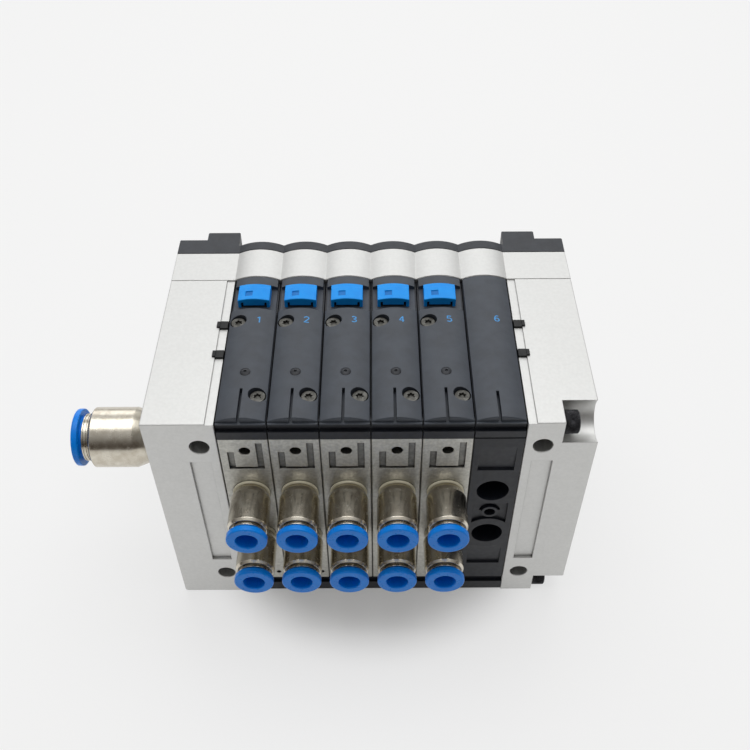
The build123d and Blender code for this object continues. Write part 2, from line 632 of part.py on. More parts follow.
def tie_rod(y, z):
    """A socket-head rod that pulls the end plates together."""
    tip = -STACK_X - ROD_THREAD_DEPTH + ROD_END_GAP
    rod = bar_x(y, z, ROD_R, (tip, ROD_SEAT_X))
    rod += bar_x(y, z, ROD_HEAD_R, (ROD_SEAT_X, ROD_SEAT_X + ROD_HEAD_T))
    socket = extrude(RegularPolygon(ROD_SOCKET_R, 6), ROD_SOCKET_DEPTH)
    end = ROD_SEAT_X + ROD_HEAD_T - ROD_SOCKET_DEPTH
    return rod - Pos(end, y, z) * Rot(0, 90, 0) * socket


def gasket(index):
    """A sheet gasket on one side of a slice; index counts the joints from the left."""
    x = -STACK_X + index * PITCH
    inset = 2 * GASKET_T
    sheet = block((x, x + GASKET_T), (inset, PLATE_DEPTH), (BODY_Z0, BODY_Z1 - inset))
    return rod_cuts(sheet, (x, x + GASKET_T))


def radii(size):
    """A fitting's radii, from the tube outwards."""
    sleeve = size["tube_r"] + size["sleeve_wall"]
    bore = sleeve + SLEEVE_CLEAR
    neck = bore + size["neck_wall"]
    return {
        "sleeve": sleeve, "bore": bore, "undercut": bore + size["snap"],
        "bead": bore + size["snap"] - SLEEVE_CLEAR, "neck": neck, "body": neck + size["body_wall"],
        "flange": neck + size["flange"], "groove": size["tube_r"] + size["groove_step"],
    }


def stations(size):
    """Where a fitting's steps lie along its axis, outwards from the face that it is screwed into."""
    body_start = size["seal_t"] + size["taper"] + size["edge"]
    body_end = body_start + size["body"]
    nose = body_end + size["nose"]
    neck_end = nose + size["neck"]
    ring_back = neck_end + size["travel"] + RING_STOP_CLEAR
    groove_in = size["stop"] + size["guide"]
    groove_out = groove_in + size["groove"]
    shelf = groove_out + size["web"]
    sleeve_end = shelf + size["grip_t"] + size["travel"] + size["sleeve_gap"]
    return {
        "body_start": body_start, "body_end": body_end, "nose": nose, "neck_end": neck_end,
        "ring_back": ring_back, "ring_front": ring_back + size["flange_t"], "groove_in": groove_in,
        "groove_out": groove_out, "shelf": shelf, "sleeve_end": sleeve_end,
        "bead_top": sleeve_end + size["bead"], "snap": sleeve_end + size["bead"] + RING_STOP_CLEAR,
    }


def fitting_body(size):
    """A push-in fitting's turned body, outwards along Z from the face it is screwed into."""
    r = radii(size)
    at = stations(size)
    seat = size["seal_t"]
    tube = size["tube_r"]
    flow = tube - size["flow_step"]
    relief_r = tube + size["grip_bend"] + RING_IN_GROOVE
    relief = at["shelf"] - size["grip_drop"] - RING_IN_GROOVE
    return turned([
        (flow, -size["shank"]), (size["shank_r"], -size["shank"]), (size["shank_r"], seat),
        (size["shank_r"] + size["shoulder"], seat),
        (r["body"] - size["edge_step"], seat + size["taper"]), (r["body"], at["body_start"]),
        (r["body"], at["body_end"]), (r["body"] - size["nose_step"], at["nose"]),
        (r["neck"], at["nose"]), (r["neck"], at["neck_end"]), (r["bore"], at["neck_end"]),
        (r["bore"], at["snap"]), (r["undercut"], at["snap"]), (r["undercut"], at["shelf"]),
        (relief_r, at["shelf"]), (tube, relief), (tube, at["groove_out"]),
        (r["groove"], at["groove_out"]), (r["groove"], at["groove_in"]), (tube, at["groove_in"]),
        (tube, size["stop"]), (flow, size["stop"]),
    ])


def release_ring(size):
    """A release ring: a rounded flange, and a sleeve whose bead snaps in behind a shoulder."""
    r = radii(size)
    at = stations(size)
    tube = size["tube_r"]
    edge = size["flange_edge_r"]
    front = at["ring_front"]
    lines = Polyline((r["flange"] - edge, front), (tube + size["mouth"], front), (tube, front - size["mouth"]),
                     (tube, at["sleeve_end"]), (r["sleeve"], at["sleeve_end"]), (r["bead"], at["bead_top"]),
                     (r["sleeve"], at["bead_top"]), (r["sleeve"], at["ring_back"]),
                     (r["flange"], at["ring_back"]), (r["flange"], front - edge))
    lines += RadiusArc((r["flange"], front - edge), (r["flange"] - edge, front), -edge)
    return revolve(Plane.XZ * make_face(lines), Axis.Z)


def seat_seal(size):
    """The flat ring between a fitting's shoulder and the face."""
    outer = size["shank_r"] + size["seal_w"]
    return turned([(size["shank_r"], 0), (outer, 0), (outer, size["seal_t"]),
                   (size["shank_r"], size["seal_t"])])


def grip_ring(size):
    """The sprung ring that holds the tube: a flat rim, and teeth that bend inwards along the tube."""
    tube = size["tube_r"]
    bend = tube + size["grip_bend"]
    outer = radii(size)["undercut"] - RING_IN_GROOVE
    low = stations(size)["shelf"]
    high = low + size["grip_t"]
    drop = size["grip_drop"]
    ring = turned([(tube, low - drop), (bend, low), (outer, low), (outer, high), (bend, high),
                   (tube, high - drop)])
    slot = block((0, bend), (-GRIP_SLOT_W / 2, GRIP_SLOT_W / 2), (low - drop, high))
    for tooth in range(GRIP_TEETH):
        ring -= Rot(0, 0, tooth * 360 / GRIP_TEETH) * slot
    return ring


def tube_seal(size):
    """The lip seal round the tube, with a groove that opens towards the pressure."""
    tube = size["tube_r"]
    at = stations(size)
    outer = radii(size)["groove"] - RING_IN_GROOVE
    low = at["groove_in"] + RING_IN_GROOVE
    high = at["groove_out"] - RING_IN_GROOVE
    middle = (tube + outer) / 2
    lip = SEAL_LIP * (outer - tube) / 2
    return turned([(tube, low), (middle - lip, low), (middle, (low + high) / 2), (middle + lip, low),
                   (outer, low), (outer, high), (tube, high)])


def port_place(index, z):
    """Where a port's fitting goes: its axis points out of the front."""
    return Pos(slice_x(index) + PORT_X, 0, z) * Rot(90, 0, 0)


def supply_place():
    """Where the supply fitting goes: its axis points out of the left end plate."""
    return Pos(-OUTER_X, SUPPLY_Y, SUPPLY_Z) * Rot(0, -90, 0)


def interface_block():
    """The metal block behind the row, arched over each slice."""
    body = along_y(rear_outline(0), (PLATE_DEPTH + PLATE_BREAK, BLOCK_BACK))
    body += along_y(rear_outline(PLATE_BREAK), (PLATE_DEPTH, PLATE_DEPTH + PLATE_BREAK))
    for side in (-1, 1):
        for z in HOLE_ZS:
            body -= bar_y(side * HOLE_X, z, HOLE_R, (PLATE_DEPTH, BLOCK_BACK))
    return body - housing_screw_holes()


def foot(side):
    """A rear foot and the lower shoulder beside it, with rounded upright edges."""
    shoulder = block(sorted((side * FOOT_X0, side * OUTER_X)), (PLATE_BACK, SHOULDER_BACK), (0, PLATE_H))
    outer = edges_along(shoulder, Axis.Z, lambda c: c.Y > PLATE_BACK and abs(c.X) > OUTER_X - FOOT_EDGE_R)
    shoulder = fillet(outer, FOOT_EDGE_R)
    pad = block(sorted((side * FOOT_X0, side * (FOOT_X0 + FOOT_W))), (PLATE_BACK, FOOT_BACK), (0, PLATE_H))
    pad = fillet(edges_along(pad, Axis.Z, lambda c: c.Y > FOOT_BACK - FOOT_EDGE_R), FOOT_EDGE_R)
    return shoulder + pad


def rear_housing():
    """The black rear housing: a back plate, a recessed rim and two stepped feet."""
    body = along_y(rear_outline(SHADOW_INSET), (BLOCK_BACK, BLOCK_BACK + SHADOW_GAP))
    body += along_y(rear_outline(0), (BLOCK_BACK + SHADOW_GAP, PLATE_BACK))
    for side in (-1, 1):
        body += foot(side)
        for z in HOLE_ZS:
            body -= bar_y(side * HOLE_X, z, HOLE_R, (BLOCK_BACK, FOOT_BACK))
    return body - housing_screw_holes()


def housing_screw_holes():
    """The holes of the housing screws, through the back plate and into the block."""
    start = PLATE_BACK - HOUSING_SCREW_LENGTH
    return [bar_y(side * HOUSING_SCREW_X, z, HOUSING_SCREW_SHANK_R, (start, PLATE_BACK))
            for side in (-1, 1) for z in HOUSING_SCREW_ZS]


def plug_outline(offset):
    """The D-shaped outline of the connector, grown by an offset."""
    half = PLUG_TOP_W / 2 + offset
    low = half - PLUG_SLOPE
    high_z = PLUG_Z + PLUG_H / 2 + offset
    low_z = PLUG_Z - PLUG_H / 2 - offset
    corners = ((-half, high_z), (-low, low_z), (low, low_z), (half, high_z))
    return FilletPolyline(*corners, radius=PLUG_CORNER_R + offset, close=True)


def connector_shell():
    """The pressed shell: a flange with two holes and a D-shaped collar."""
    front = PLATE_BACK
    face = front + PLUG_FLANGE_T
    end = face + PLUG_REACH
    shell = block((-PLUG_FLANGE_W / 2, PLUG_FLANGE_W / 2), (front, face),
                  (PLUG_Z - PLUG_FLANGE_H / 2, PLUG_Z + PLUG_FLANGE_H / 2))
    shell = fillet(shell.edges().filter_by(Axis.Y), PLUG_FLANGE_R)
    shell += along_y(plug_outline(PLUG_WALL), (face, end))
    shell -= along_y(plug_outline(0), (front, end))
    for side in (-1, 1):
        shell -= bar_y(side * PLUG_HOLE_SPACING / 2, PLUG_Z, PLUG_HOLE_R, (front, face))
    return shell


def connector_insert():
    """The insulating insert at the bottom of the shell."""
    depth = (PLATE_BACK, PLATE_BACK + PLUG_FLANGE_T + PLUG_INSERT_RECESS)
    insert = along_y(plug_outline(0), depth)
    for x, z in pin_places():
        insert -= bar_y(x, z, PIN_R, depth)
    return insert


def pin_places():
    """Two staggered rows of contacts."""
    places = []
    for row, count in enumerate((PINS_LONG_ROW, PINS_LONG_ROW - 1)):
        z = PLUG_Z + (0.5 - row) * PIN_ROW_GAP
        for index in range(count):
            places.append(((index - (count - 1) / 2) * PIN_PITCH, z))
    return places


def connector_pin(x, z):
    """A contact pin with a rounded tip."""
    pin = bar_y(x, z, PIN_R, (PLATE_BACK, PLATE_BACK + PIN_DEPTH))
    return fillet(pin.edges().sort_by(Axis.Y)[-1], PIN_TIP_R)


def housing_screw(side, z):
    """A pan-head screw through the back plate."""
    x = side * HOUSING_SCREW_X
    screw = bar_y(x, z, HOUSING_SCREW_R, (PLATE_BACK, PLATE_BACK + HOUSING_SCREW_T))
    screw = fillet(screw.edges().sort_by(Axis.Y)[-1], HOUSING_SCREW_DOME)
    return screw + bar_y(x, z, HOUSING_SCREW_SHANK_R, (PLATE_BACK - HOUSING_SCREW_LENGTH, PLATE_BACK))


def plug_post(side):
    """A six-sided post that holds one end of the connector's flange."""
    face = PLATE_BACK + PLUG_FLANGE_T
    stem = bar_y(side * PLUG_HOLE_SPACING / 2, PLUG_Z, PLUG_HOLE_R, (PLATE_BACK, face))
    post = Pos(side * PLUG_HOLE_SPACING / 2, face, PLUG_Z) * Rot(-90, 0, 0)
    return stem + post * extrude(RegularPolygon(POST_R, 6), POST_T)


def save(name, solids):
    """Write one node: its solids, moved to the finished part's origin."""
    moved = [Pos(-ORIGIN[0], -ORIGIN[1], -ORIGIN[2]) * solid for solid in solids]
    shape = moved[0] if len(moved) == 1 else Compound(children=moved)
    export_step(shape, os.path.join("parts", name + ".step"))


def main():
    """Write every node of the island."""
    os.makedirs("parts", exist_ok=True)
    save("left_end_plate", [left_end_plate()])
    save("right_end_plate", [right_end_plate()])
    for index in range(VALVES):
        number = str(index + 1)
        save("valve_body_" + number, [valve_body(index)])
        save("pilot_block_" + number, [pilot_block(index)])
        save("valve_cover_" + number, [valve_cover(index)])
        save("override_clip_" + number, [override_clip(index)])
        save("override_button_" + number, [override_button(index)])
        save("port_fittings_" + number, [port_place(index, z) * fitting_body(SMALL) for z in PORT_ZS])
        for level, z in zip(("lower", "upper"), PORT_ZS):
            ring = port_place(index, z) * release_ring(SMALL)
            save("release_ring_" + number + "_" + level, [ring])
    save("blanking_body", [blanking_body()])
    save("blanking_cover", [plain_cover(VALVES, BLANK_SPLIT_LENGTH)])
    screws = [cover_screw(slice_x(index) + dx, y) for index in range(VALVES) for dx, y in SCREW_PLACES]
    save("cover_screws", screws)
    save("supply_fitting", [supply_place() * fitting_body(LARGE)])
    save("supply_release_ring", [supply_place() * release_ring(LARGE)])
    ports = [port_place(index, z) for index in range(VALVES) for z in PORT_ZS]
    for name, ring in (("seat_seals", seat_seal), ("grip_rings", grip_ring), ("tube_seals", tube_seal)):
        small = ring(SMALL)
        save(name, [place * small for place in ports] + [supply_place() * ring(LARGE)])
    save("tie_rods", [tie_rod(y, z) for y, z in ROD_PLACES])
    save("slice_gaskets", [gasket(index) for index in range(SLICES + 1)])
    save("base_rail", [base_rail()])
    save("latch_tabs", [tab(side, y) for side in (-1, 1) for y in TAB_PLACES])
    save("interface_block", [interface_block()])
    save("rear_housing", [rear_housing()])
    save("connector_shell", [connector_shell()])
    save("connector_insert", [connector_insert()])
    save("connector_pins", [connector_pin(x, z) for x, z in pin_places()])
    screws = [housing_screw(side, z) for side in (-1, 1) for z in HOUSING_SCREW_ZS]
    save("rear_screws", screws + [plug_post(side) for side in (-1, 1)])


main()
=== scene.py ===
"""The valve island's looks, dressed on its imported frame.

Metres, in the frame's own axes: X along the row of slices, Y from the ports to the rear feet, Z up.
Sizes are written in millimetres and turned to metres where a mesh is made.
"""
import json
import math

import bmesh
import bpy
import numpy as np
from mathutils import Matrix, Vector
from mathutils.bvhtree import BVHTree


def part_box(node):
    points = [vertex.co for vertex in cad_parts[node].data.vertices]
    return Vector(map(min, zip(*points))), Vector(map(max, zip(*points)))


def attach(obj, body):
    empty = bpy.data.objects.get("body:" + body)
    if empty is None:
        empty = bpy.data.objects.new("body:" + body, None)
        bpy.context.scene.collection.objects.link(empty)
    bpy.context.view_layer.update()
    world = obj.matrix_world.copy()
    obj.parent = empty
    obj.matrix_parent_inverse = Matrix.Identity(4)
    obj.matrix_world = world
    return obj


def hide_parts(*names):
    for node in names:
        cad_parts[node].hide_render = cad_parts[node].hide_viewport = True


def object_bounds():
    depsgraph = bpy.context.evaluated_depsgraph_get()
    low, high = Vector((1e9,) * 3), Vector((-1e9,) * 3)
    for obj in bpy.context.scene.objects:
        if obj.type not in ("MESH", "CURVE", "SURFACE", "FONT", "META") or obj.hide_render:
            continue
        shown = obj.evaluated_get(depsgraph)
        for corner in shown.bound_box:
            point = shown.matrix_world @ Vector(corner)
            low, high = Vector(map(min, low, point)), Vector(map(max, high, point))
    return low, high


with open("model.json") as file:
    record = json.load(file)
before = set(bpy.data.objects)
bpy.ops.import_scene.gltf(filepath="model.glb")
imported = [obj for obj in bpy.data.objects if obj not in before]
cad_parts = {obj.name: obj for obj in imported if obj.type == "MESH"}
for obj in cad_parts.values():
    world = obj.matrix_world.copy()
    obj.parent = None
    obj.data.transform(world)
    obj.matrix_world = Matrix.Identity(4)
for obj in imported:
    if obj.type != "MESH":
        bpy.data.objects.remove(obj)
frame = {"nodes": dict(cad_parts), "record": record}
CAD_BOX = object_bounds()

MM = 0.001
VALVES = range(1, 6)
NODES = frame["nodes"]
PLATE_MM = [np.array(corner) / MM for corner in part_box("left_end_plate")]
FRONT_MM = PLATE_MM[0][1]
OUTER_MM = PLATE_MM[0][0]
ORIGIN_UP_MM = 54.7


# Helpers for materials

def linear(code):
    """An sRGB hex colour as linear red, green and blue, with an alpha of 1."""
    values = [int(code[start:start + 2], 16) / 255 for start in (1, 3, 5)]
    curve = [v / 12.92 if v <= 0.04045 else ((v + 0.055) / 1.055) ** 2.4 for v in values]
    return (*curve, 1.0)


def add(tree, kind, settings=None, **links):
    """Adds one node: settings are its properties or input values, and links feed its inputs."""
    node = tree.nodes.new(kind)
    for key, value in (settings or {}).items():
        if isinstance(key, int) or key in node.inputs:
            node.inputs[key].default_value = value
        else:
            setattr(node, key, value)
    for key, output in links.items():
        index = int(key[1:]) if key[0] == "_" and key[1:].isdigit() else key.replace("_", " ")
        tree.links.new(output, node.inputs[index])
    return node


def material(name):
    """An empty material, its node tree, and the Object coordinates that its patterns read."""
    made = bpy.data.materials.new(name)
    made.use_nodes = True
    tree = made.node_tree
    tree.nodes.clear()
    place = add(tree, "ShaderNodeTexCoord").outputs["Object"]
    return made, tree, place


def clouds(tree, place, size_mm, detail, stretch):
    """A value from 0 to 1 that drifts over patches of size_mm, drawn out along an axis by stretch."""
    scaled = add(tree, "ShaderNodeMapping", {"Scale": stretch}, Vector=place)
    noise = add(tree, "ShaderNodeTexNoise", {"Scale": 1 / (size_mm * MM), "Detail": detail},
                Vector=scaled.outputs[0])
    return noise.outputs["Fac"]


def grain(tree, place, size_mm, depth_mm, strength, detail=2.0, stretch=(1, 1, 1), edge_mm=0, below=None):
    """Bump from grains that are size_mm across and depth_mm deep, on the normal below.

    With edge_mm the normal below turns smoothly across every edge, as a rubbed or moulded one does."""
    links = {"Height": clouds(tree, place, size_mm, detail, stretch)}
    if edge_mm:
        below = add(tree, "ShaderNodeBevel", {"samples": 6, "Radius": edge_mm * MM}).outputs[0]
    if below is not None:
        links["Normal"] = below
    bump = add(tree, "ShaderNodeBump", {"Strength": strength, "Distance": depth_mm * MM}, **links)
    return bump.outputs[0]


def painted_crevice_shade(tree, colour, reach_mm, shade_colour):
    """Painted shade: the colour, darker in corners and grooves, where less than four fifths of the sky is
    open.
    """
    sky = add(tree, "ShaderNodeAmbientOcclusion", {"samples": 8, "Distance": reach_mm * MM})
    open_sky_share = add(tree, "ShaderNodeMapRange", {"From Min": 0.25, "From Max": 0.8}, Value=sky.outputs["AO"])
    # Painted shade: where less sky is open, the colour turns toward the shade colour.
    mixed = add(tree, "ShaderNodeMix", {"data_type": "RGBA", 6: linear(shade_colour)},
                _0=open_sky_share.outputs[0], _7=colour)
    return mixed.outputs[2]


def patches(tree, place, size_mm, dark, light):
    """Colour that drifts between two hex values over patches of size_mm."""
    ramp = add(tree, "ShaderNodeValToRGB", Fac=clouds(tree, place, size_mm, 3.0, (1, 1, 1)))
    for stop, position, code in zip(ramp.color_ramp.elements, (0.35, 0.65), (dark, light)):
        stop.position = position
        stop.color = linear(code)
    return ramp.outputs["Color"]


def spread(tree, place, size_mm, low, high, stretch=(1, 1, 1)):
    """A value, such as roughness, that drifts between two numbers over patches of size_mm."""
    spans = {"From Min": 0.3, "From Max": 0.7, "To Min": low, "To Max": high}
    return add(tree, "ShaderNodeMapRange", spans,
               Value=clouds(tree, place, size_mm, 3.0, stretch)).outputs[0]


def anodised_aluminium():
    """Milled and blasted aluminium under clear anodising: pale, satin, with a fine even grain.

    The blasting is drawn at 0.35 mm, coarser than it is, so that it shows. Faint mill lines cross it."""
    made, tree, place = material("anodised_aluminium")
    # Painted shade: corners and grooves darken toward #55534F.
    colour = painted_crevice_shade(tree, patches(tree, place, 1.2, "#CFCFCD", "#D3D3D1"), 0.9, "#55534F")
    rough = spread(tree, place, 2, 0.50, 0.54, stretch=(0.3, 1, 1))
    normal = grain(tree, place, 0.35, 0.012, 0.5, edge_mm=0.35)
    normal = grain(tree, place, 0.9, 0.012, 0.15, stretch=(0.15, 1, 1), below=normal)
    shader = add(tree, "ShaderNodeBsdfPrincipled", {"Metallic": 1.0}, Base_Color=colour,
                 Roughness=rough, Normal=normal)
    add(tree, "ShaderNodeOutputMaterial", Surface=shader.outputs[0])
    return made


GROUND_MM = (0.35, 0.5)


def die_cast_alloy():
    """Pressure die-cast alloy: a sandy grey face, ground flat, and darker colour behind it.

    The ground face ends and the darker colour begins at GROUND_MM behind the front. The darker colour is
    partly the skin as cast and partly painted shade for the recesses."""
    made, tree, place = material("die_cast_alloy")
    ground = patches(tree, place, 1.1, "#B2B1AB", "#C4C3BC")
    # Painted shade in part: the darker colour behind the ground face is the cast skin and also the
    # recesses' shade.
    cast = patches(tree, place, 1.6, "#7C7C79", "#8F8E8A")
    depth = add(tree, "ShaderNodeSeparateXYZ", Vector=place).outputs["Y"]
    starts, ends = (FRONT_MM * MM + depth_mm * MM for depth_mm in GROUND_MM)
    behind = add(tree, "ShaderNodeMapRange", {"From Min": starts, "From Max": ends}, Value=depth)
    mixed = add(tree, "ShaderNodeMix", {"data_type": "RGBA"}, _0=behind.outputs[0], _6=ground, _7=cast)
    # Painted shade: corners and grooves darken toward #3F3D39.
    colour = painted_crevice_shade(tree, mixed.outputs[2], 1.2, "#3F3D39")
    rough = spread(tree, place, 1.2, 0.42, 0.58)
    normal = grain(tree, place, 0.5, 0.05, 0.8, detail=4.0, edge_mm=0.3)
    shader = add(tree, "ShaderNodeBsdfPrincipled", {"Metallic": 1.0}, Base_Color=colour,
                 Roughness=rough, Normal=normal)
    add(tree, "ShaderNodeOutputMaterial", Surface=shader.outputs[0])
    return made


def nickel_plate():
    """Turned brass under bright nickel: a warm grey mirror, very slightly uneven."""
    made, tree, place = material("nickel_plated_brass")
    # Painted shade: corners and grooves darken toward #4A4339.
    colour = painted_crevice_shade(tree, patches(tree, place, 3, "#C4BCAD", "#D6D0C2"), 1.0, "#4A4339")
    rough = spread(tree, place, 2.0, 0.20, 0.28)
    normal = grain(tree, place, 0.5, 0.004, 0.4)
    shader = add(tree, "ShaderNodeBsdfPrincipled", {"Metallic": 1.0}, Base_Color=colour,
                 Roughness=rough, Normal=normal)
    add(tree, "ShaderNodeOutputMaterial", Surface=shader.outputs[0])
    return made


def plated_steel(name, dark, light):
    """Plated steel: grey and slightly cloudy, brighter in zinc than in the screws' phosphate."""
    made, tree, place = material(name)
    colour = patches(tree, place, 1.5, dark, light)
    rough = spread(tree, place, 1.0, 0.28, 0.42)
    shader = add(tree, "ShaderNodeBsdfPrincipled", {"Metallic": 1.0}, Base_Color=colour, Roughness=rough,
                 Normal=grain(tree, place, 0.25, 0.01, 0.5))
    add(tree, "ShaderNodeOutputMaterial", Surface=shader.outputs[0])
    return made


def black_oxide_steel():
    """Steel under black oxide: near black with an oily sheen, a little cloudy."""
    made, tree, place = material("black_oxide_steel")
    colour = patches(tree, place, 0.7, "#2C2C2E", "#39393B")
    shader = add(tree, "ShaderNodeBsdfPrincipled", {"Metallic": 1.0}, Base_Color=colour,
                 Roughness=spread(tree, place, 1.0, 0.20, 0.30))
    add(tree, "ShaderNodeOutputMaterial", Surface=shader.outputs[0])
    return made


def gold_flash():
    """A thin gold flash on contact pins: warm yellow, with a clear gloss."""
    made, tree, place = material("gold_flashed_contact")
    colour = patches(tree, place, 1, "#C79A45", "#E3BC6A")
    shader = add(tree, "ShaderNodeBsdfPrincipled", {"Metallic": 1.0, "Roughness": 0.25},
                 Base_Color=colour)
    add(tree, "ShaderNodeOutputMaterial", Surface=shader.outputs[0])
    return made


def moulded_nylon(name, dark, light, rough):
    """Glass-filled nylon from a spark-eroded mould: dull, with a fine pebbled skin.

    The pebbles are drawn at 0.45 mm, coarser than they are, so that they show."""
    made, tree, place = material(name)
    colour = patches(tree, place, 6, dark, light)
    normal = grain(tree, place, 0.45, 0.03, 0.5, detail=3.0, edge_mm=0.25)
    shader = add(tree, "ShaderNodeBsdfPrincipled", {"IOR": 1.5}, Base_Color=colour,
                 Roughness=spread(tree, place, 2.0, rough - 0.05, rough + 0.05), Normal=normal)
    add(tree, "ShaderNodeOutputMaterial", Surface=shader.outputs[0])
    return made


def moulded_acetal(name, dark, light, rough):
    """Acetal from a polished mould: even colour with a soft gloss and a shallow ripple."""
    made, tree, place = material(name)
    colour = patches(tree, place, 5, dark, light)
    shader = add(tree, "ShaderNodeBsdfPrincipled", {"IOR": 1.48, "Specular IOR Level": 0.3},
                 Base_Color=colour, Roughness=spread(tree, place, 1.5, rough - 0.04, rough + 0.04),
                 Normal=grain(tree, place, 0.8, 0.01, 0.4, edge_mm=0.2))
    add(tree, "ShaderNodeOutputMaterial", Surface=shader.outputs[0])
    return made


def rubber(name, dark, light):
    """Moulded rubber or gasket sheet: dull and even."""
    made, tree, place = material(name)
    colour = patches(tree, place, 3, dark, light)
    shader = add(tree, "ShaderNodeBsdfPrincipled", {"Roughness": 0.7}, Base_Color=colour)
    add(tree, "ShaderNodeOutputMaterial", Surface=shader.outputs[0])
    return made


def pad_ink():
    """Pad-printed ink: a thin dull film, a little uneven where the pad lifted."""
    made, tree, place = material("pad_ink")
    colour = patches(tree, place, 0.4, "#2E86C8", "#4A9BD8")
    shader = add(tree, "ShaderNodeBsdfPrincipled", {"Roughness": 0.55}, Base_Color=colour,
                 Normal=grain(tree, place, 0.3, 0.01, 0.5))
    add(tree, "ShaderNodeOutputMaterial", Surface=shader.outputs[0])
    return made


ALUMINIUM = anodised_aluminium()
CAST = die_cast_alloy()
NICKEL = nickel_plate()
ZINC = plated_steel("zinc_plated_steel", "#9A9994", "#B4B3AE")
PHOSPHATE = plated_steel("phosphated_steel", "#54534F", "#6C6B67")
BLACK_STEEL = black_oxide_steel()
GOLD = gold_flash()
COVER_NYLON = moulded_nylon("cover_nylon", "#353A42", "#3B414A", 0.48)
HOUSING_NYLON = moulded_nylon("housing_nylon", "#0B0F18", "#10151F", 0.5)
RING_ACETAL = moulded_acetal("ring_acetal", "#007FE6", "#0086EC", 0.30)
CLIP_ACETAL = moulded_acetal("clip_acetal", "#0090EC", "#0098F2", 0.38)
SEAL_PLASTIC = moulded_acetal("seal_plastic", "#E0D9BE", "#EDE7D0", 0.45)
TAB_NYLON = moulded_nylon("tab_nylon", "#030405", "#07080A", 0.62)
REAR_NYLON = moulded_nylon("rear_nylon", "#22252B", "#282C33", 0.48)
MARK_ACETAL = moulded_acetal("mark_acetal", "#0A6CB8", "#0E74C2", 0.5)
RUBBER = rubber("nitrile_rubber", "#121212", "#1C1C1C")
GASKET_SHEET = rubber("gasket_sheet", "#5C5B58", "#6A6965")
INK = pad_ink()

FINISHES = {
    "anodised_aluminium": ALUMINIUM, "die_cast_metal": CAST, "nickel_plated_brass": NICKEL, "steel": ZINC,
    "black_steel": BLACK_STEEL, "contact_metal": GOLD, "black_plastic": HOUSING_NYLON,
    "cover_plastic": COVER_NYLON, "clip_plastic": CLIP_ACETAL, "blue_plastic": RING_ACETAL,
    "seal_plastic": SEAL_PLASTIC, "rubber": RUBBER,
}
OWN_FINISHES = {"latch_tabs": TAB_NYLON, "rear_housing": REAR_NYLON, "slice_gaskets": GASKET_SHEET}


def dress_nodes():
    """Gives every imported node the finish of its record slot, or its own where it looks different."""
    for entry in frame["record"]["subparts"]:
        node = NODES[entry["node"]]
        node.data.materials.clear()
        node.data.materials.append(OWN_FINISHES.get(entry["node"], FINISHES[entry["material_slot"]]))


# Helpers for shapes

FRONT = Matrix(((1, 0, 0), (0, 0, -1), (0, 1, 0)))
LEFT = Matrix(((0, 0, -1), (0, 1, 0), (1, 0, 0)))
RIGHT = Matrix(((0, 0, 1), (0, 1, 0), (-1, 0, 0)))


def eased(corners, steps):
    """An outline of corners (radius, height, ease): an ease makes an arc that touches both sides."""
    points = np.array([corner[:2] for corner in corners], float)
    runs = []
    for index, corner in enumerate(points):
        before = points[index - 1]
        after = points[(index + 1) % len(points)]
        radius = corners[index][2]
        if radius == 0:
            runs.append(corner[None, :])
            continue
        back = (before - corner) / np.linalg.norm(before - corner)
        ahead = (after - corner) / np.linalg.norm(after - corner)
        half = np.arccos(np.clip(back @ ahead, -1, 1)) / 2
        middle = back + ahead
        centre = corner + middle / np.linalg.norm(middle) * radius / np.sin(half)
        start = corner + back * radius / np.tan(half) - centre
        end = corner + ahead * radius / np.tan(half) - centre
        first = np.arctan2(start[1], start[0])
        sweep = np.arctan2(start[0] * end[1] - start[1] * end[0], start @ end)
        angle = first + sweep * np.linspace(0, 1, steps + 1)
        runs.append(centre + radius * np.stack([np.cos(angle), np.sin(angle)], axis=1))
    return np.concatenate(runs)


def supported(outline, margin=0.06):
    """The outline with a point close to both ends of each long side, so that it is shaded straight."""
    after = np.roll(outline, -1, 0)
    rows = []
    for here, there in zip(outline, after):
        rows.append(here)
        length = np.linalg.norm(there - here)
        if length > 5 * margin:
            step = (there - here) / length * margin
            rows += [here + step, there - step]
    return np.array(rows)


def lathe(outline, segments, swing=None):
    """A closed outline of radius and height carried round Z: x = r cos a, y = r sin a.

    swing, where given, is what each point's radius gains at each angle. Rings whose radius is 0 stay as
    many points in one place, and are merged later."""
    outline = supported(outline)
    angle = np.linspace(0, 2 * np.pi, segments, endpoint=False)
    radius = np.repeat(outline[:, :1], segments, axis=1)
    if swing is not None:
        radius = radius + swing(angle, outline)
    height = np.repeat(outline[:, 1:2], segments, axis=1)
    points = np.stack([radius * np.cos(angle), radius * np.sin(angle), height], axis=2).reshape(-1, 3)
    row = np.arange(len(outline))
    column = np.arange(segments)
    here, around = np.meshgrid(row, column, indexing="ij")
    up = (here + 1) % len(outline)
    past = (around + 1) % segments
    faces = np.stack([here * segments + around, here * segments + past, up * segments + past,
                      up * segments + around], axis=2).reshape(-1, 4)
    return points, faces


def placed(shape, turn, at):
    """A shape's points turned by a matrix and moved to a place, both in millimetres."""
    points, faces = shape
    return points @ np.array(turn).T + np.array(at), faces


def joined(shapes):
    """Several shapes as one: their points and faces one after another."""
    counts = np.cumsum([0] + [len(points) for points, _ in shapes])
    points = np.concatenate([points for points, _ in shapes])
    faces = np.concatenate([faces + start for (_, faces), start in zip(shapes, counts)])
    return points, faces


MERGE_MM = 0.0005
SHARP_DEGREES = 35


